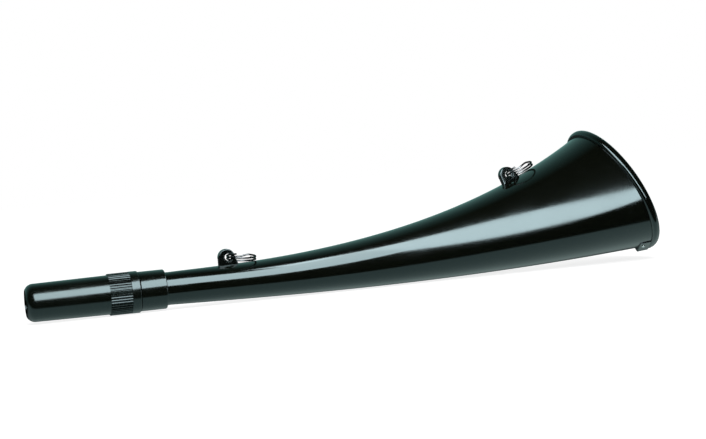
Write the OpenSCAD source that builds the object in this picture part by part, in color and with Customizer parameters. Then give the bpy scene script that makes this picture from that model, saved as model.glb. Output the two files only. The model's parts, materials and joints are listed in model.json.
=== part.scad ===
// Mouth-blown reed horn: a curved black moulded horn with a screwed-on mouthpiece,
// a beaded bell rim and two strap eyes, each with a split ring.
// X runs along the mouthpiece from its blow end towards the bell, Z is up, and the
// horn curves in the XZ plane. The origin is the centre of the blow hole.

/* [Horn shell] */
// Outer radius of the horn's small end
throat_r = 9.9; // [9:0.05:10.5]
// Distance from the blow end to where the shell starts to widen
throat_x = 86; // [84:0.5:90]
// Wall thickness of the moulded shell
shell_wall = 2.2; // [1.6:0.1:2.6]
// Distance along X to the centre of the bell's mouth
mouth_x = 376.4; // [360:0.2:390]
// Height of the mouth's centre over the mouthpiece axis
mouth_z = 31.6; // [28:0.2:36]
// Outer radius of the shell at the mouth
mouth_r = 41.9; // [40:0.1:44]
// Angle that the mouth faces upwards
mouth_tilt = 27.2; // [22:0.2:30]

/* [Mouthpiece] */
// Length of the mouthpiece, from the blow end to the joint with the collar
mouthpiece_l = 66.6; // [66:0.2:69]
// Radius of the mouthpiece at the blow end
tip_r = 11.3; // [10.8:0.1:11.6]
// Radius of the blow hole
blow_r = 8; // [7:0.1:8.2]
// Number of ridges on the knurled grip
knurl_count = 48; // [36:2:60]

/* [Screw joint] */
// Thread pitch
pitch = 3; // [2.8:0.1:3.4]
// Turns of the male thread
thread_turns = 3.5; // [2:0.5:4]

/* [Bell rim] */
// How far the rim stands out from the shell
rim_proud = 2.7; // [2.2:0.1:3]
// Depth of the rim, back to front
rim_depth = 5.4; // [5:0.1:6]

/* [Strap eyes and rings] */
// Distance along X to the rear eye
rear_eye_x = 122.4; // [112:0.2:130]
// Distance along X to the front eye
front_eye_x = 309.2; // [300:0.2:318]
// Radius of an eye's rounded head
eye_r = 5.1; // [4.8:0.1:5.4]
// Radius of the hole through an eye
eye_hole_r = 2; // [2:0.05:2.2]
// Thickness of an eye
eye_t = 4.4; // [4:0.2:4.6]
// Outside diameter of a split ring
ring_od = 18.4; // [17:0.2:20]
// Diameter of the ring's wire
ring_wire = 1.1; // [0.9:0.05:1.2]

/* [Reed] */
// Outer radius of the brass shallot
shallot_r = 4; // [3.6:0.1:4.2]
// Height of the shallot's flat face over its axis
face_z = 1.6; // [1.2:0.1:2]
// Thickness of the reed tongue
tongue_t = 0.3; // [0.2:0.05:0.4]
// Angle at which the tongue stands open over the face
tongue_lift = 2.4; // [1.5:0.1:3]

/* [Hidden] */
$fn = 96;
black = [0.05, 0.06, 0.06];
steel = [0.8, 0.82, 0.84];
brass = [0.78, 0.62, 0.3];
rubber = [0.12, 0.12, 0.12];
bone = [0.85, 0.82, 0.72];

// Helpers for the two guide curves, as [x, z] pairs in the plane of the curve
function ray(a) = [cos(a), sin(a)];
function bez(p, t) = pow(1 - t, 3) * p[0] + 3 * t * pow(1 - t, 2) * p[1]
    + 3 * t * t * (1 - t) * p[2] + pow(t, 3) * p[3];
function bez_run(p, t) = 3 * pow(1 - t, 2) * (p[1] - p[0]) + 6 * t * (1 - t) * (p[2] - p[1])
    + 3 * t * t * (p[3] - p[2]);
function guide(a, b, slope_a, run_a, slope_b, run_b) =
    [a, a + run_a * ray(slope_a), b - run_b * ray(slope_b), b];
function t_at(p, x, lo = 0, hi = 1, n = 24) = n == 0 ? (lo + hi) / 2
    : bez(p, (lo + hi) / 2)[0] < x ? t_at(p, x, (lo + hi) / 2, hi, n - 1)
    : t_at(p, x, lo, (lo + hi) / 2, n - 1);

// The mouth's centre, the way it faces and the way up its face
mouth_c = [mouth_x, mouth_z];
mouth_out = ray(mouth_tilt);
mouth_up = ray(mouth_tilt + 90);

// The belly runs nearly straight to the mouth, and the spine climbs to it
belly_end_slope = 4.4;
spine_end_slope = 31;
belly = guide([throat_x, -throat_r], mouth_c - mouth_r * mouth_up, -1.7, 79, belly_end_slope, 127);
spine = guide([throat_x, throat_r], mouth_c + mouth_r * mouth_up, 1.6, 43.5, spine_end_slope, 119);
shell_steps = 34;
shell_sides = 48;
lip_l = 3;
tail_x = 72;

// Each section is a circle strung between the guides: [centre, way up, radius]
function section(lo, hi) = [(lo + hi) / 2, (hi - lo) / norm(hi - lo), norm(hi - lo) / 2];
sections = concat(
    [section([tail_x, -throat_r], [tail_x, throat_r])],
    [for (i = [0:shell_steps]) section(bez(belly, i / shell_steps), bez(spine, i / shell_steps))],
    [section(belly[3] + lip_l * mouth_out, spine[3] + lip_l * mouth_out)]
);
function on_section(s, r, a) = let (q = s[0] + s[1] * r * cos(a)) [q[0], r * sin(a), q[1]];

// Collar, thread and reed chamber
collar_r = 11.85;
collar_x0 = mouthpiece_l + 0.2;
collar_x1 = throat_x - 3.4;
spigot_x0 = 52.2;
spigot_r = 9.5;
spigot_bore_r = 7.4;
thread_h = 0.7;
thread_gap = 0.1;
socket_r = spigot_r + thread_h + thread_gap;
chamber_r = 8.3;
chamber_x = 30;
shoulder_x = 50.7;
knurl_x0 = 48.6;
knurl_x1 = 61.3;
knurl_r = 12.5;
band_r = 12.55;
grip_r = 11.75;
lip_arc_r = 5.5;
lip_mid_r = tip_r - lip_arc_r;
lip_land = 0.2;
lip_x = sqrt(pow(lip_arc_r, 2) - pow(blow_r + lip_land - lip_mid_r, 2));
seal_r = 0.7;
seal_mid_r = 9;
flange_r = 8.5;
flange_t = 1.6;
carrier_x1 = 64;

// Reed: the shallot lies along the axis, with the tongue clamped on its flat face
shallot_x0 = 33;
shallot_x1 = 66;
shallot_bore_r = 3.1;
shallot_end_t = 1.2;
face_x1 = 60;
tongue_w = 6.6;
tongue_x0 = 34.5;
tongue_bend_x = 51;
tongue_x1 = 57;
tongue_gap = 0.13;
wedge_x0 = 51.2;

// Rim, clip and rivet. The clip is a tab beside the belly. Its face is flat and runs along
// the flare of the shell, so that it is thin at its upper end and flush with the rim at the
// lower one
rim_inner_r = mouth_r - shell_wall - 1.1;
rim_soft = 2.2;
fit_gap = 0.06;
slip_gap = 0.02;
clip_from = 9;
clip_to = 28;
clip_mid = (clip_from + clip_to) / 2;
clip_l = 6.5;
clip_sink = 0.3;
clip_thin = 0.8;
belly_flare = mouth_tilt - belly_end_slope;
spine_flare = spine_end_slope - mouth_tilt;
clip_flare = (belly_flare + spine_flare) / 2 + (belly_flare - spine_flare) / 2 * cos(clip_mid);
clip_drop = clip_l * tan(clip_flare);
clip_r = mouth_r + rim_proud;
rivet_r = 0.7;
rivet_head_r = 1.3;
rivet_head_h = 0.7;
rivet_l = 2.8;
rivet_spot = [4.9, -4.2];
clip_face_gap = 0.04;

// Eyes and rings
eye_rise = 4.5;
eye_back = 0.8;
eye_foot = 6;
eye_sink = 1;
eye_hole = [0.3, 4.45];
eye_recess_r = 2.8;
eye_web = 0.6;
ring_seat = [-0.05, 4.75];
ring_gap = 0.42;
ring_r = (ring_od - ring_wire) / 2;
ring_layer = (ring_wire + ring_gap) / 2;
ring_jog = 45;
ring_jog_at = -70;
ring_end_gap = 7.5;
ring_step = 15;
rear_ring_lie = -8.3;
rear_ring_rock = 9.6;
front_ring_lie = 15.6;
front_ring_rock = 18;

module along_x() { rotate([0, 90, 0]) children(); }
module at_mouth() { translate([mouth_x, 0, mouth_z]) rotate([0, 90 - mouth_tilt, 0]) children(); }

// A rectangle from corner to corner with its corners rounded
module soft_box(a, b, c) {
    translate([a[0] + c, a[1]]) square([b[0] - a[0] - 2 * c, b[1] - a[1]]);
    translate([a[0], a[1] + c]) square([b[0] - a[0], b[1] - a[1] - 2 * c]);
    for (x = [a[0] + c, b[0] - c]) for (y = [a[1] + c, b[1] - c]) translate([x, y]) circle(c);
}

// A tube of sections, each a ring of points, closed at both ends
function ring_faces(n, m) = [for (i = [0:n - 2]) for (k = [0:m - 1])
    [i * m + k, i * m + (k + 1) % m, (i + 1) * m + (k + 1) % m, (i + 1) * m + k]];

module horn_shell() {
    n = len(sections);
    m = shell_sides;
    outer = [for (s = sections) for (k = [0:m - 1]) on_section(s, s[2], 360 * k / m)];
    inner = [for (s = sections) for (k = [0:m - 1])
        on_section(s, s[2] - shell_wall, 360 * k / m)];
    skin = ring_faces(n, m);
    core = [for (f = skin) [for (j = [3:-1:0]) f[j] + n * m]];
    ends = [for (i = [0, n - 1]) for (k = [0:m - 1])
        let (a = i * m + k, b = i * m + (k + 1) % m, q = n * m)
        i == 0 ? [a, a + q, b + q, b] : [b, b + q, a + q, a]];
    color(black) polyhedron(concat(outer, inner), concat(skin, core, ends), convexity = 6);
}

// A helical ridge from root radius r0 to crest radius r1, right-handed about +Z
module helix_ridge(r0, r1, turns) {
    w0 = 1.5;
    w1 = 0.7;
    per_turn = 36;
    n = turns * per_turn;
    side = r1 < r0 ? 1 : -1;
    profile = [[r0, -side * w0 / 2], [r0, side * w0 / 2], [r1, side * w1 / 2], [r1, -side * w1 / 2]];
    points = [for (i = [0:n]) let (a = 360 * i / per_turn) for (q = profile)
        [q[0] * cos(a), q[0] * sin(a), q[1] + pitch * i / per_turn]];
    skin = ring_faces(n + 1, 4);
    caps = [[3, 2, 1, 0], [for (j = [0:3]) n * 4 + j]];
    polyhedron(points, concat(skin, caps), convexity = 8);
}

module socket_collar() {
    color(black) along_x() {
        rotate_extrude() difference() {
            union() {
                translate([0, collar_x0]) square([collar_r - 0.8, collar_x1 - collar_x0]);
                soft_box([collar_r - 3, collar_x0], [collar_r, collar_x1], 0.7);
                translate([0, spigot_x0]) square([spigot_r, collar_x0 - spigot_x0 + 1]);
            }
            square([flange_r, spigot_x0 + flange_t]);
            square([spigot_bore_r, tail_x]);
            translate([0, tail_x]) square([throat_r + 0.02, collar_x1]);
        }
        translate([0, 0, spigot_x0 + 2.2]) helix_ridge(spigot_r - 0.3, spigot_r + thread_h, thread_turns);
    }
}

module mouthpiece() {
    color(black) along_x() {
        rotate_extrude() difference() {
            union() {
                intersection() {
                    translate([lip_mid_r, lip_x]) circle(lip_arc_r);
                    square([tip_r + 1, lip_x]);
                }
                polygon([[lip_mid_r, lip_x], [tip_r, lip_x], [grip_r, knurl_x0],
                    [grip_r, knurl_x1], [lip_mid_r, knurl_x1]]);
                translate([0, knurl_x1 - 1]) square([grip_r, 1]);
                soft_box([8, knurl_x1], [band_r, mouthpiece_l], 0.75);
            }
            square([blow_r, chamber_x]);
            translate([0, chamber_x]) square([chamber_r, shoulder_x]);
            translate([0, shoulder_x]) square([socket_r, mouthpiece_l]);
        }
        translate([0, 0, knurl_x0]) linear_extrude(knurl_x1 - knurl_x0) difference() {
            polygon([for (i = [0:2 * knurl_count - 1])
                (i % 2 == 0 ? knurl_r : knurl_r - 0.55) * ray(180 * i / knurl_count)]);
            circle(grip_r - 0.5);
        }
        translate([0, 0, spigot_x0 + 2.2 + pitch / 2])
            helix_ridge(socket_r + 0.3, spigot_r + thread_gap, thread_turns - 0.5);
    }
}

module seal_ring() {
    color(rubber) along_x() translate([0, 0, (shoulder_x + spigot_x0) / 2])
        rotate_extrude() translate([seal_mid_r, 0]) circle(seal_r);
}

module reed_carrier() {
    color(bone) along_x() rotate_extrude() difference() {
        union() {
            translate([0, spigot_x0]) square([flange_r, flange_t]);
            translate([0, spigot_x0]) square([spigot_bore_r, carrier_x1 - spigot_x0]);
        }
        square([shallot_r + slip_gap, carrier_x1]);
    }
}

module reed_shallot() {
    color(brass) difference() {
        along_x() difference() {
            translate([0, 0, shallot_x0]) cylinder(r = shallot_r, h = shallot_x1 - shallot_x0);
            translate([0, 0, shallot_x0 + shallot_end_t])
                cylinder(r = shallot_bore_r, h = shallot_x1 - shallot_x0);
        }
        translate([shallot_x0 - 1, -shallot_r - 1, face_z])
            cube([face_x1 - shallot_x0 + 1, 2 * shallot_r + 2, shallot_r]);
    }
}

module reed_tongue() {
    z0 = face_z + tongue_gap;
    rise = (tongue_bend_x - tongue_x0) * tan(tongue_lift);
    color(brass) translate([0, tongue_w / 2, 0]) rotate([90, 0, 0]) linear_extrude(tongue_w)
        polygon([[tongue_x1, z0], [tongue_bend_x, z0], [tongue_x0, z0 + rise],
            [tongue_x0, z0 + rise + tongue_t], [tongue_bend_x, z0 + tongue_t],
            [tongue_x1, z0 + tongue_t]]);
}

module tongue_wedge() {
    z0 = face_z + tongue_t + 2 * tongue_gap;
    color(bone) intersection() {
        along_x() translate([0, 0, wedge_x0]) cylinder(r = shallot_r, h = face_x1 - wedge_x0);
        translate([wedge_x0 - 1, -shallot_r, z0]) cube([20, 2 * shallot_r, shallot_r]);
    }
}

module bell_rim() {
    color(black) at_mouth() rotate_extrude() difference() {
        soft_box([rim_inner_r, 0.1], [mouth_r + rim_proud, rim_depth], rim_soft);
        translate([mouth_r - shell_wall - fit_gap - 0.1, 0])
            square([shell_wall + 2 * fit_gap + 0.1, lip_l + slip_gap]);
    }
}

// The clip's slice in the plane of its upper end, from the shell's skin out to a radius
module clip_slice(foot, face) {
    polygon([[foot, 0.1], [face, 0.1], [face - clip_drop, -clip_l], [foot - clip_drop, -clip_l]]);
}

module rim_clip() {
    foot = mouth_r - clip_sink;
    color(black) at_mouth() rotate([0, 0, -clip_to]) difference() {
        intersection() {
            rotate_extrude(angle = clip_to - clip_from) clip_slice(foot, clip_r);
            translate([0, clip_r, 0]) rotate([90, 0, 0]) linear_extrude(2 * clip_r)
                clip_slice(foot - clip_r / 2, mouth_r + clip_thin);
        }
        rivet_place() cylinder(r = rivet_r + slip_gap, h = 3 * rivet_l, center = true);
    }
}

// Frame of the rivet: +Z points squarely out of the clip, from its flat face
module rivet_place() {
    translate([mouth_r + clip_thin + rivet_spot[1] * tan(clip_flare), rivet_spot[0], rivet_spot[1]])
        rotate([0, 90 + clip_flare, 0]) children();
}

module clip_rivet() {
    color(steel) at_mouth() rotate([0, 0, -clip_to]) rivet_place() translate([0, 0, clip_face_gap]) {
        translate([0, 0, -rivet_l]) cylinder(r = rivet_r, h = rivet_l + 0.1);
        cylinder(r1 = rivet_head_r, r2 = rivet_head_r - 0.5, h = rivet_head_h);
    }
}

// Frame on the spine at x: +X along the spine towards the bell, +Z off the shell
module on_spine(x) {
    p = bez(spine, t_at(spine, x));
    d = bez_run(spine, t_at(spine, x));
    translate([p[0], 0, p[1]]) rotate([0, -atan2(d[1], d[0]), 0]) children();
}

// An eye is a lug with a round head over a longer foot, and a hole for the ring that
// opens into a round recess on each side
module eye(x) {
    foot = [-eye_foot, eye_foot];
    color(black) difference() {
        on_spine(x) translate([0, eye_t / 2, 0]) rotate([90, 0, 0]) linear_extrude(eye_t)
            difference() {
                union() {
                    translate([-eye_back, eye_rise]) circle(eye_r);
                    polygon([[foot[0], -eye_sink], [foot[1], -eye_sink], [foot[1], 0],
                        [eye_r - eye_back - 0.1, eye_rise + 0.6], [-eye_r - eye_back + 0.1, eye_rise],
                        [foot[0], 0]]);
                }
                translate([-eye_foot * 2, -eye_sink - eye_r]) square([eye_foot * 4, eye_r]);
            }
        on_spine(x) translate([eye_hole[0], 0, eye_hole[1]]) rotate([90, 0, 0]) {
            cylinder(r = eye_hole_r, h = 2 * eye_t, center = true);
            for (side = [-1, 1]) translate([0, 0, side * (eye_web + eye_t / 2)])
                cylinder(r = eye_recess_r, h = eye_t, center = true);
        }
    }
}

// The two-turn wire of a split ring: the first turn runs flat in the lower layer,
// crosses to the upper one in the jog, and runs flat again to where it began
function ring_height(a) = a < 360 - ring_jog ? -ring_layer
    : a > 360 ? ring_layer
    : -ring_layer * cos(180 * (a - 360 + ring_jog) / ring_jog);
ring_turn = 720 - ring_jog - 2 * ring_end_gap;
ring_angles = [for (i = [0:ring_turn / ring_step]) ring_end_gap + i * ring_step];
ring_line = [for (a = ring_angles) [ring_r * cos(a), ring_r * sin(a), ring_height(a)]];
ring_least_gap = min([for (i = [0:len(ring_line) - 1]) for (j = [i + 8:1:len(ring_line) - 1])
    norm(ring_line[i] - ring_line[j])]) - ring_wire;
echo("least gap between the turns of a split ring, in mm", ring_least_gap);

module ring_wire() {
    m = 6;
    n = len(ring_angles);
    points = [for (a = ring_angles) for (k = [0:m - 1])
        let (b = 60 * k, r = ring_r + ring_wire / 2 * cos(b))
        [r * cos(a + ring_jog_at), r * sin(a + ring_jog_at), ring_height(a) + ring_wire / 2 * sin(b)]];
    caps = [[for (j = [m - 1:-1:0]) j], [for (j = [0:m - 1]) (n - 1) * m + j]];
    color(steel) polyhedron(points, concat(ring_faces(n, m), caps), convexity = 6);
}

// A ring hangs in its eye and lies towards the bell, rocked over to the horn's far side
module split_ring(x, lie, rock) {
    p = bez(spine, t_at(spine, x));
    d = bez_run(spine, t_at(spine, x)) / norm(bez_run(spine, t_at(spine, x)));
    pivot = p + ring_seat[0] * d + ring_seat[1] * [-d[1], d[0]];
    translate([pivot[0], 0, pivot[1]]) rotate([0, -lie, 0]) rotate([-rock, 0, 0])
        translate([ring_r, 0, 0]) ring_wire();
}

horn_shell();
socket_collar();
bell_rim();
rim_clip();
clip_rivet();
eye(rear_eye_x);  // rear_eye
eye(front_eye_x);  // front_eye
split_ring(rear_eye_x, rear_ring_lie, rear_ring_rock);  // rear_split_ring
split_ring(front_eye_x, front_ring_lie, front_ring_rock);  // front_split_ring
mouthpiece();
seal_ring();
reed_carrier();
reed_shallot();
reed_tongue();
tongue_wedge();
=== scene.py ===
import json
import math

import bmesh
import bpy
from mathutils import Matrix, Vector


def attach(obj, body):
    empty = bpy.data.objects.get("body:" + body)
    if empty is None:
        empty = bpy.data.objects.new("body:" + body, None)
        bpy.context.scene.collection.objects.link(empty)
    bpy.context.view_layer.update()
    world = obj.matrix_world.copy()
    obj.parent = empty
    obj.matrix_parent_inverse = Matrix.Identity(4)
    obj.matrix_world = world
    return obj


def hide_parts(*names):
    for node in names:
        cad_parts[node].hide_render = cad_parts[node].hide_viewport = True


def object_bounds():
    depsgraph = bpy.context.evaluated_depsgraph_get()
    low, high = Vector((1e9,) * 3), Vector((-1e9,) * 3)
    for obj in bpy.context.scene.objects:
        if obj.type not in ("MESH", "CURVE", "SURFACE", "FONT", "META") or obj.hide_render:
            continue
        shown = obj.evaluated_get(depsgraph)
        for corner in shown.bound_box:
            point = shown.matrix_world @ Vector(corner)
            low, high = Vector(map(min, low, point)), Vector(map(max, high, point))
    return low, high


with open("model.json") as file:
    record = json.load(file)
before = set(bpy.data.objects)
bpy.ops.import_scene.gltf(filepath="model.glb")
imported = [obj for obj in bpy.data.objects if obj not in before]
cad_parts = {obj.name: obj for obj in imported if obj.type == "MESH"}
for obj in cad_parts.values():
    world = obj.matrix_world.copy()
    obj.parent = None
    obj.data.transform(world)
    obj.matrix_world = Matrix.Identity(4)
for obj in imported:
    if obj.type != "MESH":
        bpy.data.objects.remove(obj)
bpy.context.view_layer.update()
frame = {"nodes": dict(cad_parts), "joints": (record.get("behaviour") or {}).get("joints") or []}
MM = 0.001


# Horn shell: the curved tube and bell, one piece of black ABS with a 2.2 mm wall. It is injection
# moulded round a core that draws out of the mouth, so its belly runs nearly straight while its
# spine climbs, and every section between them is a circle.
def on_plane(x, z):
    """A point in the plane of the horn's curve, from millimetres."""
    return Vector((x * MM, 0, z * MM))


def heading(angle):
    """The direction at that angle over the mouthpiece's axis, in the plane of the curve."""
    return Vector((math.cos(math.radians(angle)), 0, math.sin(math.radians(angle))))


throat_r = 9.9 * MM
throat_x = 86 * MM
shell_wall = 2.2 * MM
mouth_centre = on_plane(376.4, 31.6)
mouth_r = 41.9 * MM
mouth_tilt = 27.2
mouth_out = heading(mouth_tilt)
mouth_up = heading(mouth_tilt + 90)
shell_tail = Vector((-14 * MM, 0, 0))
shell_lip = mouth_out * 3 * MM
belly_start = Vector((throat_x, 0, -throat_r))
belly_end = mouth_centre - mouth_up * mouth_r
belly_end_slope = 4.4
belly = (belly_start, belly_start + heading(-1.7) * 79 * MM,
         belly_end - heading(belly_end_slope) * 127 * MM, belly_end)
spine_start = Vector((throat_x, 0, throat_r))
spine_end = mouth_centre + mouth_up * mouth_r
spine_end_slope = 31
spine = (spine_start, spine_start + heading(1.6) * 43.5 * MM,
         spine_end - heading(spine_end_slope) * 119 * MM, spine_end)


def linear(code):
    """A hex sRGB colour as linear red, green, blue and alpha."""
    channels = [int(code[i:i + 2], 16) / 255 for i in (1, 3, 5)]
    return tuple(c / 12.92 if c <= 0.04045 else ((c + 0.055) / 1.055) ** 2.4 for c in channels) + (1.0,)


def add(tree, kind, links=None, **settings):
    """Adds a node with its settings. links maps an input to a value or to another node's output."""
    made = tree.nodes.new(kind)
    for setting, value in settings.items():
        setattr(made, setting, value)
    for key, value in (links or {}).items():
        if isinstance(value, bpy.types.NodeSocket):
            tree.links.new(value, made.inputs[key])
        else:
            made.inputs[key].default_value = value
    return made


def new_finish(name):
    """An empty material with its shader, as (material, tree, shader)."""
    finish = bpy.data.materials.new(name)
    finish.use_nodes = True
    tree = finish.node_tree
    tree.nodes.clear()
    shader = add(tree, "ShaderNodeBsdfPrincipled")
    add(tree, "ShaderNodeOutputMaterial", {"Surface": shader.outputs[0]})
    return finish, tree, shader


# Injection-moulded black ABS, straight from a polished tool: a deep gloss a little cooler than
# neutral, with the faint waviness of moulding shrinkage, hairline rubs along the horn and dust.
def moulded_abs(name, tone, gloss, hairline=0.35, wave=4.0, dust=1.6):
    """gloss is the roughness; hairline, wave and dust are spacings in millimetres."""
    finish, tree, shader = new_finish(name)
    place = add(tree, "ShaderNodeTexCoord").outputs["Object"]
    along = add(tree, "ShaderNodeMapping", {"Vector": place, "Scale": (0.03, 1, 1)})
    rubs = add(tree, "ShaderNodeTexNoise", {"Vector": along.outputs[0], "Scale": 1 / (hairline * MM),
                                            "Detail": 2.0})
    haze = add(tree, "ShaderNodeTexNoise", {"Vector": place, "Scale": 1 / (22 * MM), "Detail": 3.0})
    both = add(tree, "ShaderNodeMath", {0: rubs.outputs[0], 1: haze.outputs[0]}, operation="MULTIPLY")
    rough = add(tree, "ShaderNodeMapRange", {"Value": both.outputs[0], "From Min": 0.12, "From Max": 0.42,
                                             "To Min": gloss * 0.8, "To Max": gloss * 1.45})
    specks = add(tree, "ShaderNodeTexVoronoi", {"Vector": place, "Scale": 1 / (dust * MM), "Randomness": 1.0})
    grain = add(tree, "ShaderNodeTexNoise", {"Vector": place, "Scale": 1 / (9 * MM), "Detail": 1.0})
    reach = add(tree, "ShaderNodeMapRange", {"Value": grain.outputs[0], "From Min": 0.55, "From Max": 0.75,
                                             "To Min": 0.0, "To Max": 0.075})
    fleck = add(tree, "ShaderNodeMath", {0: specks.outputs["Distance"], 1: reach.outputs[0]},
                operation="LESS_THAN")
    colour = add(tree, "ShaderNodeMix", {
        "Factor": fleck.outputs[0], "A": linear(tone), "B": linear("#3a3f40")}, data_type="RGBA")
    dulled = add(tree, "ShaderNodeMath", {0: fleck.outputs[0], 1: 0.35, 2: rough.outputs[0]},
                 operation="MULTIPLY_ADD")
    waves = add(tree, "ShaderNodeTexNoise", {"Vector": place, "Scale": 1 / (wave * MM), "Detail": 1.0})
    swell = add(tree, "ShaderNodeBump", {"Height": waves.outputs[0], "Strength": 0.12, "Distance": 0.02 * MM})
    scuff = add(tree, "ShaderNodeBump", {"Height": rubs.outputs[0], "Strength": 0.1, "Distance": 0.004 * MM,
                                         "Normal": swell.outputs[0]})
    tree.links.new(colour.outputs["Result"], shader.inputs["Base Color"])
    tree.links.new(dulled.outputs[0], shader.inputs["Roughness"])
    tree.links.new(scuff.outputs[0], shader.inputs["Normal"])
    shader.inputs["IOR"].default_value = 1.53
    shader.inputs["Specular Tint"].default_value = linear("#d4f0f6")
    return finish


def new_tree(name, sockets):
    """A Geometry Nodes tree with those named inputs, as (tree, its input node)."""
    tree = bpy.data.node_groups.new(name, "GeometryNodeTree")
    tree.interface.new_socket("Geometry", in_out="OUTPUT", socket_type="NodeSocketGeometry")
    for label, kind in sockets.items():
        tree.interface.new_socket(label, in_out="INPUT", socket_type="NodeSocket" + kind)
    return tree, tree.nodes.new("NodeGroupInput")


def end_tree(tree, geometry, material):
    """Realizes a tree's instances, gives them their material and sends them out."""
    real = add(tree, "GeometryNodeRealizeInstances", {"Geometry": geometry})
    dressed = add(tree, "GeometryNodeSetMaterial", {"Geometry": real.outputs[0], "Material": material})
    add(tree, "NodeGroupOutput", {0: dressed.outputs[0]})


def show(name, mesh):
    """A mesh as an object in the scene."""
    piece = bpy.data.objects.new(name, mesh)
    bpy.context.collection.objects.link(piece)
    return piece


def grow(name, tree, values, mesh=None):
    """Runs a tree on a mesh, or on nothing, and keeps the result as a live modifier."""
    piece = show(name, mesh or bpy.data.meshes.new(name))
    modifier = piece.modifiers.new(tree.name, "NODES")
    modifier.node_group = tree
    for socket in tree.interface.items_tree:
        if socket.in_out == "INPUT" and socket.name in values:
            modifier[socket.identifier] = values[socket.name]
    return piece


def settle(piece, crease=35):
    """Turns a piece's modifiers into its plain mesh, smooth but for edges over the crease angle."""
    graph = bpy.context.evaluated_depsgraph_get()
    mesh = bpy.data.meshes.new_from_object(piece.evaluated_get(graph), depsgraph=graph)
    piece.modifiers.clear()
    piece.data = mesh
    mesh.polygons.foreach_set("use_smooth", [True] * len(mesh.polygons))
    mesh.set_sharp_from_angle(angle=math.radians(crease))
    return piece


def outward(mesh):
    """Turns a closed mesh's faces outwards."""
    work = bmesh.new()
    work.from_mesh(mesh)
    bmesh.ops.recalc_face_normals(work, faces=work.faces)
    work.to_mesh(mesh)
    work.free()
    return mesh


guides = {"Belly": belly, "Spine": spine}
guide_parts = ("Start", "Start Handle", "End Handle", "End")


# The tree strings a circle between the belly and the spine at each step along them.
def strung_circles():
    tree, given = new_tree("circles between two guides", {
        **{side + " " + part: "Vector" for side in guides for part in guide_parts},
        "Tail": "Vector", "Lip": "Vector", "Steps": "Int", "Sides": "Int", "Material": "Material"})
    given = given.outputs
    rows = add(tree, "ShaderNodeMath", {0: given["Steps"], 1: 3}, operation="ADD").outputs[0]
    columns = add(tree, "ShaderNodeMath", {0: given["Sides"], 1: 1}, operation="ADD").outputs[0]
    grid = add(tree, "GeometryNodeMeshGrid", {"Vertices X": rows, "Vertices Y": columns})
    index = add(tree, "GeometryNodeInputIndex").outputs[0]
    share = add(tree, "ShaderNodeMath", {0: index, 1: columns}, operation="DIVIDE").outputs[0]
    row = add(tree, "ShaderNodeMath", {0: share}, operation="FLOOR").outputs[0]
    column = add(tree, "ShaderNodeMath", {0: index, 1: columns}, operation="MODULO").outputs[0]
    before = add(tree, "ShaderNodeMath", {0: row, 1: 1}, operation="SUBTRACT").outputs[0]
    step = add(tree, "ShaderNodeClamp", {"Value": before, "Min": 0, "Max": given["Steps"]}).outputs[0]
    position = add(tree, "GeometryNodeInputPosition").outputs[0]
    ends = []
    for side in guides:
        guide = add(tree, "GeometryNodeCurvePrimitiveBezierSegment", {
            "Resolution": given["Steps"], **{part: given[side + " " + part] for part in guide_parts}})
        points = add(tree, "GeometryNodeCurveToPoints", {"Curve": guide.outputs[0]}, mode="EVALUATED")
        spot = add(tree, "GeometryNodeSampleIndex", {
            "Geometry": points.outputs[0], "Value": position, "Index": step}, data_type="FLOAT_VECTOR")
        ends.append(spot.outputs[0])
    centre = add(tree, "ShaderNodeMix", {"Factor": 0.5, "A": ends[0], "B": ends[1]}, data_type="VECTOR")
    centre = centre.outputs["Result"]
    half = add(tree, "ShaderNodeVectorMath", {0: ends[1], 1: centre}, operation="SUBTRACT").outputs[0]
    radius = add(tree, "ShaderNodeVectorMath", {0: half}, operation="LENGTH").outputs["Value"]
    turn = add(tree, "ShaderNodeMath", {0: column, 1: given["Sides"]}, operation="DIVIDE").outputs[0]
    angle = add(tree, "ShaderNodeMath", {0: turn, 1: math.tau}, operation="MULTIPLY").outputs[0]
    up = add(tree, "ShaderNodeMath", {0: angle}, operation="COSINE").outputs[0]
    out = add(tree, "ShaderNodeMath", {0: angle}, operation="SINE").outputs[0]
    rise = add(tree, "ShaderNodeVectorMath", {0: half, "Scale": up}, operation="SCALE").outputs[0]
    width = add(tree, "ShaderNodeMath", {0: out, 1: radius}, operation="MULTIPLY").outputs[0]
    sideways = add(tree, "ShaderNodeCombineXYZ", {"Y": width}).outputs[0]
    place = add(tree, "ShaderNodeVectorMath", {0: centre, 1: rise}, operation="ADD").outputs[0]
    place = add(tree, "ShaderNodeVectorMath", {0: place, 1: sideways}, operation="ADD").outputs[0]
    last = add(tree, "ShaderNodeMath", {0: rows, 1: 1}, operation="SUBTRACT").outputs[0]
    for end, extra in ((0, "Tail"), (last, "Lip")):
        here = add(tree, "ShaderNodeMath", {0: row, 1: end, 2: 0.5}, operation="COMPARE").outputs[0]
        shift = add(tree, "ShaderNodeVectorMath", {0: given[extra], "Scale": here}, operation="SCALE")
        place = add(tree, "ShaderNodeVectorMath", {0: place, 1: shift.outputs[0]}, operation="ADD").outputs[0]
    tube = add(tree, "GeometryNodeSetPosition", {"Geometry": grid.outputs[0], "Position": place}).outputs[0]
    closed = add(tree, "GeometryNodeMergeByDistance", {"Geometry": tube, "Distance": 0.01 * MM}).outputs[0]
    end_tree(tree, closed, given["Material"])
    return tree


shell_abs = moulded_abs("gloss moulded ABS, shell", "#0c0e08", 0.115)
horn_shell = grow("horn_shell_moulding", strung_circles(), {
    **{side + " " + part: point for side, guide in guides.items() for part, point in zip(guide_parts, guide)},
    "Tail": shell_tail, "Lip": shell_lip, "Steps": 150, "Sides": 128, "Material": shell_abs})
wall = horn_shell.modifiers.new("wall", "SOLIDIFY")
wall.thickness = shell_wall
wall.offset = -1
settle(horn_shell, crease=8)
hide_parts("horn_shell")
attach(horn_shell, "horn")


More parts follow.
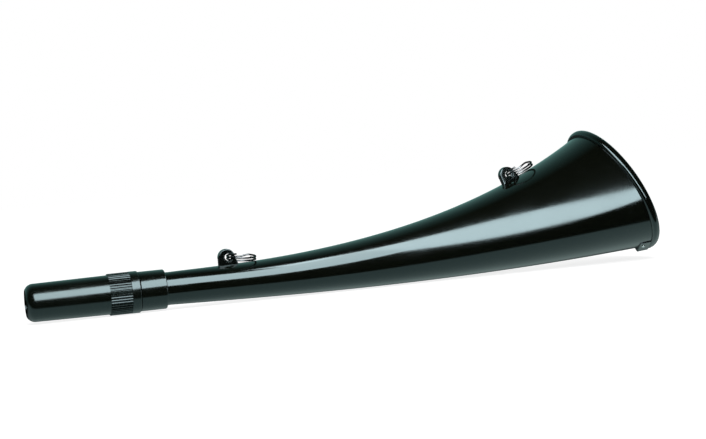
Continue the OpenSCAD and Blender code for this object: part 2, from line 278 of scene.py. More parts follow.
# Socket collar: the turned-looking ring that the tube is glued into. It is moulded in the same
# ABS, with soft corners, and carries the male thread on a spigot in front of it.
def rounded(corners, steps=6):
    """An outline of (along, radius) pairs in metres, from (along, radius, rounding) in millimetres."""
    outline = []
    for i, (x, r, turn) in enumerate(corners):
        here = Vector((x, r))
        if turn == 0:
            outline.append(here * MM)
            continue
        before = (Vector(corners[i - 1][:2]) - here).normalized()
        after = (Vector(corners[(i + 1) % len(corners)][:2]) - here).normalized()
        half = before.angle(after) / 2
        middle = here + (before + after).normalized() * turn / math.sin(half)
        first = here + before * turn / math.tan(half) - middle
        final = here + after * turn / math.tan(half) - middle
        sweep = first.angle_signed(final)
        for k in range(steps + 1):
            outline.append((middle + Matrix.Rotation(-sweep * k / steps, 2) @ first) * MM)
    return outline


def turned(name, outline, start=0, sweep=360, steps=144):
    """Turns a closed outline, or one that is a function of the angle, round X from an angle off +Z."""
    whole = sweep == 360
    count = steps if whole else steps + 1
    points = []
    for i in range(count):
        a = math.radians(start + sweep * i / steps)
        section = outline(a) if callable(outline) else outline
        points += [(x, r * math.sin(a), r * math.cos(a)) for x, r in section]
    size = len(section)
    faces = []
    for i in range(steps):
        j = (i + 1) % count
        for k in range(size):
            n = (k + 1) % size
            faces.append((i * size + k, i * size + n, j * size + n, j * size + k))
    if not whole:
        faces += [tuple(range(size)), tuple(range(steps * size, (steps + 1) * size))]
    mesh = bpy.data.meshes.new(name)
    mesh.from_pydata(points, [], faces)
    return outward(mesh)


# The tree sweeps a trapezoid ridge along a helix and joins it to the piece that carries it.
def screw_thread():
    tree, given = new_tree("screw thread", {
        "Carrier": "Geometry", "Radius": "Float", "Height": "Float", "Root Width": "Float",
        "Crest Width": "Float", "Start": "Float", "Pitch": "Float", "Turns": "Float",
        "Steps per Turn": "Int", "Material": "Material"})
    given = given.outputs
    steps = add(tree, "ShaderNodeMath", {0: given["Turns"], 1: given["Steps per Turn"]}, operation="MULTIPLY")
    count = add(tree, "ShaderNodeMath", {0: steps.outputs[0], 1: 1}, operation="ADD").outputs[0]
    line = add(tree, "GeometryNodeCurvePrimitiveLine")
    path = add(tree, "GeometryNodeResampleCurve", {"Curve": line.outputs[0], "Count": count}).outputs[0]
    index = add(tree, "GeometryNodeInputIndex").outputs[0]
    turns = add(tree, "ShaderNodeMath", {0: index, 1: given["Steps per Turn"]}, operation="DIVIDE").outputs[0]
    angle = add(tree, "ShaderNodeMath", {0: turns, 1: math.tau}, operation="MULTIPLY").outputs[0]
    out = add(tree, "ShaderNodeMath", {0: angle}, operation="SINE").outputs[0]
    up = add(tree, "ShaderNodeMath", {0: angle}, operation="COSINE").outputs[0]
    down = add(tree, "ShaderNodeMath", {0: up, 1: -1}, operation="MULTIPLY").outputs[0]
    radial = add(tree, "ShaderNodeCombineXYZ", {"Y": out, "Z": down}).outputs[0]
    along = add(tree, "ShaderNodeMath", {0: turns, 1: given["Pitch"], 2: given["Start"]},
                operation="MULTIPLY_ADD")
    advance = add(tree, "ShaderNodeCombineXYZ", {"X": along.outputs[0]}).outputs[0]
    around = add(tree, "ShaderNodeVectorMath", {0: radial, "Scale": given["Radius"]}, operation="SCALE")
    place = add(tree, "ShaderNodeVectorMath", {0: advance, 1: around.outputs[0]}, operation="ADD").outputs[0]
    helix = add(tree, "GeometryNodeSetPosition", {"Geometry": path, "Position": place}).outputs[0]
    helix = add(tree, "GeometryNodeSetCurveNormal", {"Curve": helix, "Normal": radial}, mode="FREE")
    profile = add(tree, "GeometryNodeCurvePrimitiveQuadrilateral", {
        "Height": given["Height"], "Bottom Width": given["Root Width"], "Top Width": given["Crest Width"],
        "Offset": 0.0}, mode="TRAPEZOID").outputs[0]
    ridge = add(tree, "GeometryNodeCurveToMesh", {
        "Curve": helix.outputs[0], "Profile Curve": profile, "Fill Caps": True})
    both = add(tree, "GeometryNodeJoinGeometry", {0: ridge.outputs[0]})
    tree.links.new(given["Carrier"], both.inputs[0])
    end_tree(tree, both.outputs[0], given["Material"])
    return tree


collar_x0 = 66.8
collar_x1 = 82.6
collar_r = 11.85
glue_x0 = 72
glue_r = 9.92
spigot_x0 = 52.2
spigot_r = 9.5
spigot_bore_r = 7.4
flange_x1 = spigot_x0 + 1.6
flange_r = 8.5
thread_pitch = 3
thread_tall = 0.7
thread_start = spigot_x0 + 2.2
thread_tree = screw_thread()
thread_sizes = {
    "Root Width": 1.5 * MM, "Crest Width": 0.7 * MM, "Pitch": thread_pitch * MM, "Steps per Turn": 72}
collar_abs = moulded_abs("gloss moulded ABS, collar", "#0c0e08", 0.13)
collar_outline = rounded([
    (spigot_x0, spigot_r, 0.3), (collar_x0, spigot_r, 0.2), (collar_x0, collar_r, 0.45),
    (collar_x1, collar_r, 0.8), (collar_x1, glue_r, 0.2), (glue_x0, glue_r, 0), (glue_x0, spigot_bore_r, 0),
    (flange_x1, spigot_bore_r, 0), (flange_x1, flange_r, 0), (spigot_x0, flange_r, 0.1)])
socket_collar = grow("socket_collar_moulding", thread_tree, {
    **thread_sizes, "Radius": (spigot_r + 0.2) * MM, "Height": (thread_tall + 0.3) * MM,
    "Start": thread_start * MM, "Turns": 3.5, "Material": collar_abs}, turned("collar", collar_outline))
settle(socket_collar)
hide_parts("socket_collar")
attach(socket_collar, "horn")


# Reed unit: a moulded carrier plug holds the brass shallot and its rolled brass tongue with a
# small wedge. These sit inside the mouthpiece and keep their construction shapes.
def moulded_carrier():
    """Bone-coloured nylon, satin from the tool, with a fine even grain."""
    finish, tree, shader = new_finish("satin moulded nylon, carrier")
    place = add(tree, "ShaderNodeTexCoord").outputs["Object"]
    grain = add(tree, "ShaderNodeTexNoise", {"Vector": place, "Scale": 1 / (0.3 * MM), "Detail": 3.0})
    cloud = add(tree, "ShaderNodeTexNoise", {"Vector": place, "Scale": 1 / (5 * MM), "Detail": 2.0})
    colour = add(tree, "ShaderNodeMix", {
        "Factor": cloud.outputs[0], "A": linear("#d9d2bf"), "B": linear("#cfc6ae")}, data_type="RGBA")
    bump = add(tree, "ShaderNodeBump", {"Height": grain.outputs[0], "Strength": 0.15, "Distance": 0.02 * MM})
    tree.links.new(colour.outputs["Result"], shader.inputs["Base Color"])
    tree.links.new(bump.outputs[0], shader.inputs["Normal"])
    shader.inputs["Roughness"].default_value = 0.45
    return finish


def rolled_brass():
    """Rolled and filed brass: fine lines along the strip, a little tarnish in patches."""
    finish, tree, shader = new_finish("rolled brass, reed")
    place = add(tree, "ShaderNodeTexCoord").outputs["Object"]
    along = add(tree, "ShaderNodeMapping", {"Vector": place, "Scale": (0.05, 1, 1)})
    lines = add(tree, "ShaderNodeTexNoise", {
        "Vector": along.outputs[0], "Scale": 1 / (0.15 * MM), "Detail": 2.0})
    patches = add(tree, "ShaderNodeTexNoise", {"Vector": place, "Scale": 1 / (4 * MM), "Detail": 4.0})
    colour = add(tree, "ShaderNodeMix", {
        "Factor": patches.outputs[0], "A": linear("#d8b465"), "B": linear("#b48a3e")}, data_type="RGBA")
    rough = add(tree, "ShaderNodeMapRange", {"Value": lines.outputs[0], "To Min": 0.2, "To Max": 0.42})
    bump = add(tree, "ShaderNodeBump", {"Height": lines.outputs[0], "Strength": 0.2, "Distance": 0.01 * MM})
    tree.links.new(colour.outputs["Result"], shader.inputs["Base Color"])
    tree.links.new(rough.outputs[0], shader.inputs["Roughness"])
    tree.links.new(bump.outputs[0], shader.inputs["Normal"])
    shader.inputs["Metallic"].default_value = 1.0
    return finish


def dress(node, finish):
    """Gives a construction solid its finish."""
    mesh = frame["nodes"][node].data
    mesh.materials.clear()
    mesh.materials.append(finish)


carrier_nylon = moulded_carrier()
reed_brass = rolled_brass()
dress("reed_carrier", carrier_nylon)
dress("tongue_wedge", carrier_nylon)
dress("reed_shallot", reed_brass)
dress("reed_tongue", reed_brass)


# Seal ring: a round rubber cord ring that the mouthpiece's shoulder presses on the spigot.
# Nitrile rubber, matt, with the faint bloom that such rings have.
def seal_rubber():
    finish, tree, shader = new_finish("matt nitrile rubber, seal")
    place = add(tree, "ShaderNodeTexCoord").outputs["Object"]
    bloom = add(tree, "ShaderNodeTexNoise", {"Vector": place, "Scale": 1 / (1.5 * MM), "Detail": 4.0})
    colour = add(tree, "ShaderNodeMix", {
        "Factor": bloom.outputs[0], "A": linear("#191919"), "B": linear("#2b2b2a")}, data_type="RGBA")
    bump = add(tree, "ShaderNodeBump", {"Height": bloom.outputs[0], "Strength": 0.1, "Distance": 0.02 * MM})
    tree.links.new(colour.outputs["Result"], shader.inputs["Base Color"])
    tree.links.new(bump.outputs[0], shader.inputs["Normal"])
    shader.inputs["Roughness"].default_value = 0.7
    return finish


dress("seal_ring", seal_rubber())


# Mouthpiece: the long sleeve that is blown into, moulded ABS, rounded where the lips meet it. A
# straight knurl of fine ridges gives the fingers a grip to unscrew it, with a plain band behind.
def knurled_grip():
    tree, given = new_tree("knurled grip", {
        "Carrier": "Geometry", "Ridges": "Int", "Ridge Radius": "Float", "Seat Radius": "Float",
        "Start": "Float", "Length": "Float", "Taper": "Float", "Material": "Material"})
    given = given.outputs
    line = add(tree, "GeometryNodeCurvePrimitiveLine", {"Start": (0, 0, 0), "End": (1, 0, 0)})
    path = add(tree, "GeometryNodeResampleCurve", {"Curve": line.outputs[0], "Count": 24}).outputs[0]
    place = add(tree, "GeometryNodeInputPosition").outputs[0]
    share = add(tree, "ShaderNodeSeparateXYZ", {0: place}).outputs["X"]
    far = add(tree, "ShaderNodeMath", {0: share, 1: given["Length"], 2: given["Start"]},
              operation="MULTIPLY_ADD")
    spot = add(tree, "ShaderNodeCombineXYZ", {"X": far.outputs[0], "Z": given["Seat Radius"]}).outputs[0]
    near_end = add(tree, "ShaderNodeMath", {0: share, 1: 0.5}, operation="SUBTRACT").outputs[0]
    off_middle = add(tree, "ShaderNodeMath", {0: near_end}, operation="ABSOLUTE").outputs[0]
    full = add(tree, "ShaderNodeMapRange", {"Value": off_middle, "From Min": 0.5, "From Max": given["Taper"],
                                            "To Min": 0.35, "To Max": 1.0}, interpolation_type="SMOOTHSTEP")
    radius = add(tree, "ShaderNodeMath", {0: full.outputs[0], 1: given["Ridge Radius"]}, operation="MULTIPLY")
    radius = radius.outputs[0]
    ridge = add(tree, "GeometryNodeSetPosition", {"Geometry": path, "Position": spot}).outputs[0]
    ring = add(tree, "GeometryNodeCurvePrimitiveCircle", {"Resolution": 10, "Radius": 1.0}).outputs[0]
    bar = add(tree, "GeometryNodeCurveToMesh", {"Curve": ridge, "Profile Curve": ring, "Scale": radius,
                                                "Fill Caps": True}).outputs[0]
    points = add(tree, "GeometryNodePoints", {"Count": given["Ridges"]}).outputs[0]
    index = add(tree, "GeometryNodeInputIndex").outputs[0]
    step = add(tree, "ShaderNodeMath", {0: math.tau, 1: given["Ridges"]}, operation="DIVIDE").outputs[0]
    angle = add(tree, "ShaderNodeMath", {0: index, 1: step}, operation="MULTIPLY").outputs[0]
    turn = add(tree, "ShaderNodeCombineXYZ", {"X": angle}).outputs[0]
    ridges = add(tree, "GeometryNodeInstanceOnPoints", {"Points": points, "Instance": bar, "Rotation": turn})
    both = add(tree, "GeometryNodeJoinGeometry", {0: ridges.outputs[0]})
    tree.links.new(given["Carrier"], both.inputs[0])
    end_tree(tree, both.outputs[0], given["Material"])
    return tree


blow_r = 8
tip_r = 11.3
lip_arc_r = 5.5
grip_r = 11.75
knurl_r = 12.5
ridge_r = 0.6
knurl_x0 = 48.6
knurl_x1 = 61.3
band_r = 12.55
mouthpiece_l = 66.6
socket_r = 10.3
shoulder_x = 50.7
chamber_r = 8.3
chamber_x = 30
mouthpiece_abs = moulded_abs("gloss moulded ABS, mouthpiece", "#0c0f09", 0.16, hairline=0.25, wave=2.5)
lip_mid_r = tip_r - lip_arc_r
lip_land = 0.2
lip_turn = math.acos((blow_r + lip_land - lip_mid_r) / lip_arc_r)
lip_x = lip_arc_r * math.sin(lip_turn)
lip_steps = 12
lip_arc = []
for k in range(lip_steps - 1, -1, -1):
    a = lip_turn * k / lip_steps
    lip_arc.append((lip_x - lip_arc_r * math.sin(a), lip_mid_r + lip_arc_r * math.cos(a), 0))
mouthpiece_outline = rounded([
    (0, blow_r, 0.08), (0, blow_r + lip_land, 0), *lip_arc, (knurl_x0, grip_r, 0), (knurl_x1, grip_r, 0),
    (knurl_x1, band_r, 0.25), (mouthpiece_l, band_r, 0.7), (mouthpiece_l, socket_r, 0.3),
    (shoulder_x, socket_r, 0.2), (shoulder_x, chamber_r, 0.2),
    (chamber_x, chamber_r, 0.1), (chamber_x, blow_r, 0.1)])
mouthpiece = grow("mouthpiece_thread", thread_tree, {
    **thread_sizes, "Radius": (socket_r - 0.2) * MM, "Height": -1.0 * MM,
    "Start": (thread_start + thread_pitch / 2) * MM, "Turns": 3.0, "Material": mouthpiece_abs},
    turned("mouthpiece", mouthpiece_outline))
settle(mouthpiece)
knurled = grow("mouthpiece_sleeve", knurled_grip(), {
    "Ridges": 48, "Ridge Radius": ridge_r * MM, "Seat Radius": (knurl_r - ridge_r) * MM,
    "Start": knurl_x0 * MM, "Length": (knurl_x1 - knurl_x0) * MM, "Taper": 0.45,
    "Material": mouthpiece_abs}, mouthpiece.data)
bpy.data.objects.remove(mouthpiece)
settle(knurled)
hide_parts("mouthpiece")
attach(knurled, "mouthpiece")


# Bell rim: a bead of U section that closes the edge of the bell and stiffens it. It is moulded in
# the same black, glossier from handling, and is pushed over the shell's lip.
rim_abs = moulded_abs("gloss moulded ABS, rim", "#0a0c07", 0.12)
rim_proud = 2.7
rim_depth = 5.4
rim_x0 = 0.1
rim_groove_x = 3
mouth_mm = mouth_r / MM
rim_outer_r = mouth_mm + rim_proud
rim_inner_r = mouth_mm - 3.3
groove_outer_r = mouth_mm + 0.06
groove_inner_r = mouth_mm - shell_wall / MM - 0.16
rim_outline = rounded([
    (rim_x0, rim_outer_r, 2.3), (rim_depth, rim_outer_r, 2.5), (rim_depth, rim_inner_r, 2.2),
    (rim_x0, rim_inner_r, 0.5), (rim_x0, groove_inner_r, 0.1), (rim_groove_x, groove_inner_r, 0),
    (rim_groove_x, groove_outer_r, 0), (rim_x0, groove_outer_r, 0.1)])
at_mouth = Matrix.Translation(mouth_centre) @ Matrix.Rotation(math.radians(-mouth_tilt), 4, "Y")
rim_mesh = turned("rim", rim_outline, steps=256)
rim_mesh.transform(at_mouth)
rim_mesh.materials.append(rim_abs)
bell_rim = settle(show("bell_rim_bead", rim_mesh))
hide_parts("bell_rim")
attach(bell_rim, "horn")


# Rim clip: a small tab beside the belly that keeps the bead from creeping round the lip. It is
# moulded in the same ABS with softened edges and bedded on the shell. Its face is flat, so that
# it is thin at its upper end and flush with the bead at the lower one.
clip_from = 189
clip_to = 208
clip_l = 6.5
clip_sink = 0.3
clip_thin = 0.8
belly_flare = mouth_tilt - belly_end_slope
spine_flare = spine_end_slope - mouth_tilt
turn_off_belly = math.radians((clip_from + clip_to) / 2 - 180)
clip_flare = math.radians((belly_flare + spine_flare) / 2
                          + (belly_flare - spine_flare) / 2 * math.cos(turn_off_belly))
clip_drop = clip_l * math.tan(clip_flare)


def clip_section(a):
    """The clip's outline at an angle off the spine: its flat face, but never past the bead."""
    square = math.cos(math.radians(clip_to) - a)
    corners = [(0.1, mouth_mm - clip_sink)]
    for x, drop in ((0.1, 0), (-clip_l, clip_drop)):
        corners.append((x, min(rim_outer_r - drop, (mouth_mm + clip_thin - drop) / square)))
    corners.append((-clip_l, mouth_mm - clip_sink - clip_drop))
    return [Vector(corner) * MM for corner in corners]


clip_mesh = turned("clip", clip_section, clip_from, clip_to - clip_from, steps=38)
clip_mesh.transform(at_mouth)
clip_mesh.materials.append(moulded_abs("satin moulded ABS, clip", "#0a0d0a", 0.2))
rim_clip = show("rim_clip_tab", clip_mesh)
soften = rim_clip.modifiers.new("soft edges", "BEVEL")
soften.width = 0.3 * MM
soften.segments = 3
soften.limit_method = "ANGLE"
soften.angle_limit = math.radians(40)
settle(rim_clip)
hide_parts("rim_clip")
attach(rim_clip, "horn")


# Clip rivet: a round-headed steel rivet driven squarely through the clip into the shell, bright
# from the heading tool.
def bright_steel(name, tone, rubbed, gloss, line):
    """Polished steel, rubbed paler along fine handling lines that are line millimetres apart."""
    finish, tree, shader = new_finish(name)
    place = add(tree, "ShaderNodeTexCoord").outputs["Object"]
    lines = add(tree, "ShaderNodeTexNoise", {"Vector": place, "Scale": 1 / (line * MM), "Detail": 3.0})
    rough = add(tree, "ShaderNodeMapRange", {
        "Value": lines.outputs[0], "To Min": gloss * 0.6, "To Max": gloss * 1.6})
    dull = add(tree, "ShaderNodeMix", {"Factor": lines.outputs[0], "A": linear(tone), "B": linear(rubbed)},
               data_type="RGBA")
    tree.links.new(dull.outputs["Result"], shader.inputs["Base Color"])
    tree.links.new(rough.outputs[0], shader.inputs["Roughness"])
    shader.inputs["Metallic"].default_value = 1.0
    return finish


rivet_r = 0.7
rivet_x0 = -2.7
rivet_foot = 0.04
rivet_head_r = 1.3
rivet_head_x = 0.72
near_axis = 0.001
rivet_outline = rounded([
    (rivet_x0, near_axis, 0), (rivet_x0, rivet_r, 0.1), (rivet_foot, rivet_r, 0),
    (rivet_foot, rivet_head_r, 0), (0.3, 1.2, 0.3), (rivet_head_x, 0.6, 0.6), (rivet_head_x, near_axis, 0)])
rivet_mesh = turned("rivet", rivet_outline, steps=32)
rivet_off_lip = 4.2
rivet_off_edge = 4.9
clip_face = mouth_mm + clip_thin - rivet_off_lip * math.tan(clip_flare)
rivet_spot = Vector((-rivet_off_lip, -rivet_off_edge, clip_face)) * MM
rivet_lean = Matrix.Rotation(-math.pi / 2 - clip_flare, 4, "Y")
round_to_clip = Matrix.Rotation(math.radians(-clip_to), 4, "X")
rivet_mesh.transform(at_mouth @ round_to_clip @ Matrix.Translation(rivet_spot) @ rivet_lean)
rivet_mesh.materials.append(bright_steel("polished steel, rivet", "#8d9496", "#b9bcbe", 0.22, 0.3))
clip_rivet = settle(show("clip_rivet_round_head", rivet_mesh))
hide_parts("clip_rivet")
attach(clip_rivet, "horn")


# Strap eyes: two lugs of the same ABS moulded on the spine, each with a round head over a longer
# foot. The hole for the ring opens into a round recess on each side, and all edges are soft.
def on_guide(guide, t):
    """The point and the unit direction at t along one of the shell's guides."""
    a, b, c, d = guide
    point = (1 - t) ** 3 * a + 3 * t * (1 - t) ** 2 * b + 3 * t * t * (1 - t) * c + t ** 3 * d
    run = (1 - t) ** 2 * (b - a) + 2 * t * (1 - t) * (c - b) + t * t * (d - c)
    return point, run.normalized()


def spine_frame(x):
    """The frame on the spine at a distance along X: X along the spine, Z off the shell."""
    low, high = 0.0, 1.0
    for _ in range(40):
        middle = (low + high) / 2
        if on_guide(spine, middle)[0].x < x:
            low = middle
        else:
            high = middle
    point, run = on_guide(spine, low)
    return Matrix.Translation(point) @ Matrix.Rotation(-math.atan2(run.z, run.x), 4, "Y")


eye_t = 4.4
eye_soft = 0.7
eye_head = Vector((-0.8, 4.5))
eye_head_r = 5.1
eye_hole = Vector((0.3, 4.45))
eye_hole_r = 2
eye_web = 0.6
eye_recess_r = 2.8
eye_corners = ((-6, -1), (6, -1), (6, 0), (4.2, 5.1), (-5.8, 4.5), (-6, 0))
eye_foot = [Vector(corner) - eye_hole for corner in eye_corners]


def reach_of_eye(way):
    """How far an eye's outline is from its hole's centre, in millimetres, looking along way."""
    off = eye_head - eye_hole
    head = way.dot(off) + math.sqrt(way.dot(off) ** 2 + eye_head_r ** 2 - off.length_squared)
    foot = 1e6
    for i, corner in enumerate(eye_foot):
        edge = eye_foot[(i + 1) % len(eye_foot)] - corner
        out = Vector((edge.y, -edge.x))
        if out.dot(way) > 1e-6:
            foot = min(foot, out.dot(corner) / out.dot(way))
    return max(head, foot)


def strap_eye(name, x, finish):
    """A lug with a recessed hole, its section swept round the hole."""
    around = 144
    half = eye_t / 2
    points = []
    for i in range(around):
        way = Vector((math.cos(math.tau * i / around), math.sin(math.tau * i / around)))
        reach = reach_of_eye(way)
        section = rounded([
            (eye_hole_r, -eye_web, 0.3), (eye_recess_r, -eye_web, 0.15), (eye_recess_r, -half, 0.3),
            (reach, -half, eye_soft), (reach, half, eye_soft), (eye_recess_r, half, 0.3),
            (eye_recess_r, eye_web, 0.15), (eye_hole_r, eye_web, 0.3)])
        points += [(eye_hole.x * MM + r * way.x, y, eye_hole.y * MM + r * way.y) for r, y in section]
    size = len(points) // around
    faces = [(i * size + k, i * size + (k + 1) % size, (i + 1) % around * size + (k + 1) % size,
              (i + 1) % around * size + k) for i in range(around) for k in range(size)]
    mesh = bpy.data.meshes.new(name)
    mesh.from_pydata(points, [], faces)
    outward(mesh).transform(spine_frame(x * MM))
    mesh.materials.append(finish)
    return settle(show(name, mesh), crease=50)


eye_abs = moulded_abs("satin moulded ABS, eyes", "#0a0c0a", 0.14, wave=1.5)
for end, x in (("rear", 122.4), ("front", 309.2)):
    eye = strap_eye(end + "_strap_eye", x, eye_abs)
    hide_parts(end + "_eye")
    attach(eye, "horn")


# Split rings: two turns of hard steel wire, bright chromed, pressed flat on each other with one
# crossing between the layers. Each hangs in its eye towards the bell, rocked to the far side.
def two_turn_wire():
    tree, given = new_tree("two-turn split ring", {
        "Radius": "Float", "Wire": "Float", "Layer": "Float", "First Angle": "Float", "Turn": "Float",
        "Jog": "Float", "Jog Place": "Float", "Steps": "Int", "Material": "Material"})
    given = given.outputs
    count = add(tree, "ShaderNodeMath", {0: given["Steps"], 1: 1}, operation="ADD").outputs[0]
    line = add(tree, "GeometryNodeCurvePrimitiveLine")
    path = add(tree, "GeometryNodeResampleCurve", {"Curve": line.outputs[0], "Count": count}).outputs[0]
    index = add(tree, "GeometryNodeInputIndex").outputs[0]
    share = add(tree, "ShaderNodeMath", {0: index, 1: given["Steps"]}, operation="DIVIDE").outputs[0]
    angle = add(tree, "ShaderNodeMath", {0: share, 1: given["Turn"], 2: given["First Angle"]},
                operation="MULTIPLY_ADD").outputs[0]
    jog_start = add(tree, "ShaderNodeMath", {0: math.tau, 1: given["Jog"]}, operation="SUBTRACT").outputs[0]
    climb = add(tree, "ShaderNodeMapRange", {"Value": angle, "From Min": jog_start, "From Max": math.tau,
                                             "To Max": given["Layer"]}, interpolation_type="SMOOTHSTEP")
    low = add(tree, "ShaderNodeMath", {0: given["Layer"], 1: -1}, operation="MULTIPLY").outputs[0]
    tree.links.new(low, climb.inputs["To Min"])
    placed = add(tree, "ShaderNodeMath", {0: angle, 1: given["Jog Place"]}, operation="ADD").outputs[0]
    across = add(tree, "ShaderNodeMath", {0: placed}, operation="COSINE").outputs[0]
    aside = add(tree, "ShaderNodeMath", {0: placed}, operation="SINE").outputs[0]
    x = add(tree, "ShaderNodeMath", {0: across, 1: given["Radius"]}, operation="MULTIPLY").outputs[0]
    y = add(tree, "ShaderNodeMath", {0: aside, 1: given["Radius"]}, operation="MULTIPLY").outputs[0]
    spot = add(tree, "ShaderNodeCombineXYZ", {"X": x, "Y": y, "Z": climb.outputs[0]}).outputs[0]
    wound = add(tree, "GeometryNodeSetPosition", {"Geometry": path, "Position": spot}).outputs[0]
    wound = add(tree, "GeometryNodeSetCurveNormal", {"Curve": wound}, mode="Z_UP").outputs[0]
    square = add(tree, "GeometryNodeCurvePrimitiveQuadrilateral", {
        "Width": given["Wire"], "Height": given["Wire"]})
    corner = add(tree, "ShaderNodeMath", {0: given["Wire"], 1: 0.38}, operation="MULTIPLY").outputs[0]
    section = add(tree, "GeometryNodeFilletCurve", {"Curve": square.outputs[0], "Count": 4, "Radius": corner},
                  mode="POLY").outputs[0]
    wire = add(tree, "GeometryNodeCurveToMesh", {"Curve": wound, "Profile Curve": section, "Fill Caps": True})
    end_tree(tree, wire.outputs[0], given["Material"])
    return tree


ring_od = 18.4
ring_wire = 1.1
ring_gap = 0.42
ring_r = (ring_od - ring_wire) / 2
ring_jog = 45
ring_first = 7.5
ring_tree = two_turn_wire()
ring_chrome = bright_steel("bright chromed steel, split rings", "#3a3e40", "#5c6062", 0.24, 0.5)
joints = {joint["name"]: joint for joint in frame["joints"]}
for end, lie, rock in (("rear", -8.3, 9.6), ("front", 15.6, 18)):
    ring = grow(end + "_split_ring_wire", ring_tree, {
        "Radius": ring_r * MM, "Wire": ring_wire * MM, "Layer": (ring_wire + ring_gap) / 2 * MM,
        "First Angle": math.radians(ring_first), "Turn": math.radians(720 - ring_jog - 2 * ring_first),
        "Jog": math.radians(ring_jog), "Jog Place": math.radians(-70), "Steps": 264, "Material": ring_chrome})
    settle(ring, crease=60)
    pivot = Vector(joints[end + "_ring_swing"]["pos_m"])
    hang = Matrix.Translation(pivot) @ Matrix.Rotation(math.radians(-lie), 4, "Y")
    hang = hang @ Matrix.Rotation(math.radians(-rock), 4, "X")
    ring.data.transform(hang @ Matrix.Translation((ring_r * MM, 0, 0)))
    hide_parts(end + "_split_ring")
    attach(ring, end + "_ring")


# Studio: a plain white floor under the horn and a white world, which the camera sees as paper.
# Gloss sees a pale table just under the horn, a grey wall behind it and a dark room elsewhere.
def white_floor():
    finish = bpy.data.materials.new("white paper floor")
    finish.use_nodes = True
    tree = finish.node_tree
    tree.nodes.clear()
    path = add(tree, "ShaderNodeLightPath")
    paper = add(tree, "ShaderNodeBsdfDiffuse", {"Color": linear("#f4f4f4")})
    thin = add(tree, "ShaderNodeBsdfDiffuse", {"Color": linear("#b0b0b0")})
    glow = add(tree, "ShaderNodeEmission", {"Color": (1, 1, 1, 1), "Strength": 0.82})
    lit = add(tree, "ShaderNodeAddShader", {0: thin.outputs[0], 1: glow.outputs[0]})
    seen = add(tree, "ShaderNodeMixShader", {0: path.outputs["Is Camera Ray"], 1: paper.outputs[0],
                                             2: lit.outputs[0]})
    add(tree, "ShaderNodeOutputMaterial", {"Surface": seen.outputs[0]})
    return finish


floor_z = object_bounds()[0].z
floor_mesh = bpy.data.meshes.new("floor")
away = 6
floor_mesh.from_pydata([(-away, -away, floor_z), (away, -away, floor_z), (away, away, floor_z),
                        (-away, away, floor_z)], [], [(0, 1, 2, 3)])
floor_mesh.materials.append(white_floor())
floor = show("floor", floor_mesh)
floor.visible_glossy = False


def glowing(name, tone, strength):
    """A material that gives off its own light, as (material, tree, emission)."""
    finish = bpy.data.materials.new(name)
    finish.use_nodes = True
    tree = finish.node_tree
    tree.nodes.clear()
    glow = add(tree, "ShaderNodeEmission", {"Color": linear(tone), "Strength": strength})
    add(tree, "ShaderNodeOutputMaterial", {"Surface": glow.outputs[0]})
    return finish, tree, glow


def table_glow(tone, strength, fade_from, fade_to):
    """A pale table top that gives off its own light, which fades out between two distances back."""
    finish, tree, glow = glowing("pale table, seen in the gloss", tone, strength)
    place = add(tree, "ShaderNodeTexCoord").outputs["Object"]
    back = add(tree, "ShaderNodeSeparateXYZ", {0: place}).outputs["Y"]
    fade = add(tree, "ShaderNodeMapRange", {"Value": back, "From Min": fade_from, "From Max": fade_to,
                                            "To Min": strength, "To Max": strength / 8},
               interpolation_type="SMOOTHSTEP")
    tree.links.new(fade.outputs[0], glow.inputs["Strength"])
    return finish


def seen_in_gloss(name, corners, finish):
    """A flat sheet with that material, which shows only where something glossy reflects it."""
    mesh = bpy.data.meshes.new(name)
    mesh.from_pydata(corners, [], [tuple(range(len(corners)))])
    mesh.materials.append(finish)
    sheet = show(name, mesh)
    sheet.visible_camera = False
    sheet.visible_diffuse = False
    sheet.visible_transmission = False
    sheet.visible_shadow = False


# The table that only gloss sees. Its front edge runs below the horn, a little in front of it.
table_z = -30 * MM
table_front = -50 * MM
table_corners = [(-away, table_front, table_z), (away, table_front, table_z), (away, away, table_z),
                 (-away, away, table_z)]
seen_in_gloss("table", table_corners, table_glow("#dcf6f2", 0.85, 0, 55 * MM))

world = bpy.data.worlds.new("white studio")
world.use_nodes = True
bpy.context.scene.world = world
sky = world.node_tree
sky.nodes.clear()
path = add(sky, "ShaderNodeLightPath")
look = add(sky, "ShaderNodeTexCoord").outputs["Generated"]
behind = add(sky, "ShaderNodeSeparateXYZ", {0: look}).outputs["Y"]
room = add(sky, "ShaderNodeMapRange", {"Value": behind, "From Min": 0.1, "From Max": 0.75, "To Min": 0.012,
                                       "To Max": 0.45}).outputs[0]
paper_white = (1, 1, 1, 1)
gloss = add(sky, "ShaderNodeBackground", {"Color": linear("#b7fff6"), "Strength": room})
plain = add(sky, "ShaderNodeBackground", {"Color": paper_white, "Strength": 0.45})
white = add(sky, "ShaderNodeBackground", {"Color": paper_white, "Strength": 1.0})
reflected = add(sky, "ShaderNodeMixShader", {0: path.outputs["Is Glossy Ray"], 1: plain.outputs[0],
                                             2: gloss.outputs[0]})
clear = add(sky, "ShaderNodeMixShader", {0: path.outputs["Is Transmission Ray"], 1: reflected.outputs[0],
                                         2: white.outputs[0]})
seen = add(sky, "ShaderNodeMixShader", {0: path.outputs["Is Camera Ray"], 1: clear.outputs[0],
                                        2: white.outputs[0]})
add(sky, "ShaderNodeOutputWorld", {"Surface": seen.outputs[0]})


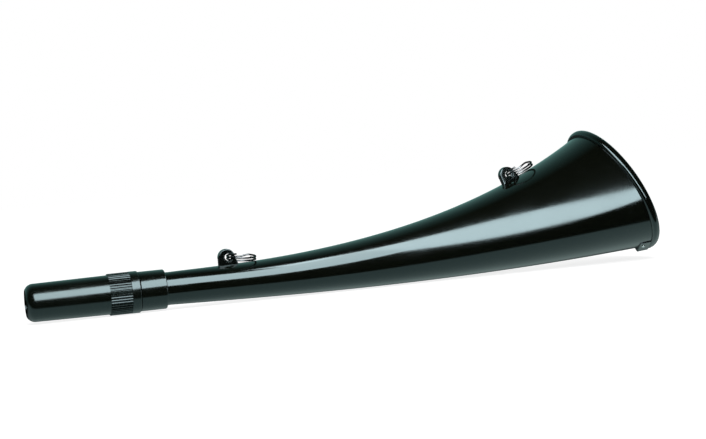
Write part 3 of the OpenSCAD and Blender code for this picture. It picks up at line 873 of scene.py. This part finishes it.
# Lamps: two long soft boxes in front of the horn, which only gloss sees, and of which the nearer
# hides the other. One draws the bright stripe down the bell and the tube, the other the stripe on
# the mouthpiece. A broad soft fill lights what isn't glossy.
def panel(centre, facing, long_way, size):
    """The corners of a rectangle that faces that way, with its long side along long_way."""
    facing = Vector(facing).normalized()
    along = Vector(long_way) - facing * facing.dot(Vector(long_way))
    across = facing.cross(along)
    along.length = size[0] / 2
    across.length = size[1] / 2
    return [Vector(centre) + along * i + across * k for i, k in ((-1, -1), (1, -1), (1, 1), (-1, 1))]


bell_panel = panel(centre=(0.307, -0.189, 0.047), facing=(0.29, 0.805, -0.517),
                   long_way=(-0.487, 0.59, 0.645), size=(0.52, 0.063))
bell_glow = glowing("bell soft box, seen in the gloss", "#ffffff", strength=15)[0]
seen_in_gloss("bell_soft_box", bell_panel, bell_glow)
mouthpiece_panel = panel(centre=(0.1065, -0.124, 0.102), facing=(-0.054, 0.584, -0.81),
                         long_way=(-0.969, -0.227, -0.099), size=(0.257, 0.124))
mouthpiece_glow = glowing("mouthpiece soft box, seen in the gloss", "#ffffff", strength=12)[0]
seen_in_gloss("mouthpiece_soft_box", mouthpiece_panel, mouthpiece_glow)

fill_along = 0.2
fill_ahead = 0.9
fill_above = 1.3
fill_size = (1.2, 0.8)
fill_glow = 3
fill = bpy.data.lights.new("fill_soft_box", "AREA")
fill.shape = "RECTANGLE"
fill.size, fill.size_y = fill_size
fill.energy = fill_glow * math.pi * fill_size[0] * fill_size[1]
fill_lamp = bpy.data.objects.new("fill_soft_box", fill)
bpy.context.collection.objects.link(fill_lamp)
fill_place = Matrix.Translation((fill_along, -fill_ahead, fill_above))
fill_lamp.matrix_world = fill_place @ Matrix.Rotation(math.atan2(fill_ahead, fill_above), 4, "X")
fill_lamp.visible_camera = False
fill_lamp.visible_glossy = False


# Camera: at the photograph's angle, a little above the horn and to the mouthpiece's side, with
# the frame turned slightly, as the horn lies in the photograph.
camera_azimuth = math.radians(-16.2)
camera_height = math.radians(2)
camera_roll = math.radians(-5.05)
camera_far = 1.047
camera_aim = Vector((0.2032, 0, 0.0303))
focal_px = 1694.5
frame_px = 706
back = Vector((math.sin(camera_azimuth) * math.cos(camera_height),
               -math.cos(camera_azimuth) * math.cos(camera_height), math.sin(camera_height)))
right = Vector((math.cos(camera_azimuth), math.sin(camera_azimuth), 0))
up = back.cross(right)
lens = bpy.data.cameras.new("camera")
lens.sensor_width = 36
lens.lens = focal_px / frame_px * lens.sensor_width
camera = bpy.data.objects.new("camera", lens)
bpy.context.collection.objects.link(camera)
camera_right = right * math.cos(camera_roll) + up * math.sin(camera_roll)
camera_up = up * math.cos(camera_roll) - right * math.sin(camera_roll)
camera_axes = Matrix((camera_right, camera_up, back)).transposed().to_4x4()
camera.matrix_world = Matrix.Translation(camera_aim + back * camera_far) @ camera_axes
bpy.context.scene.camera = camera
bpy.context.scene.view_settings.view_transform = "Standard"
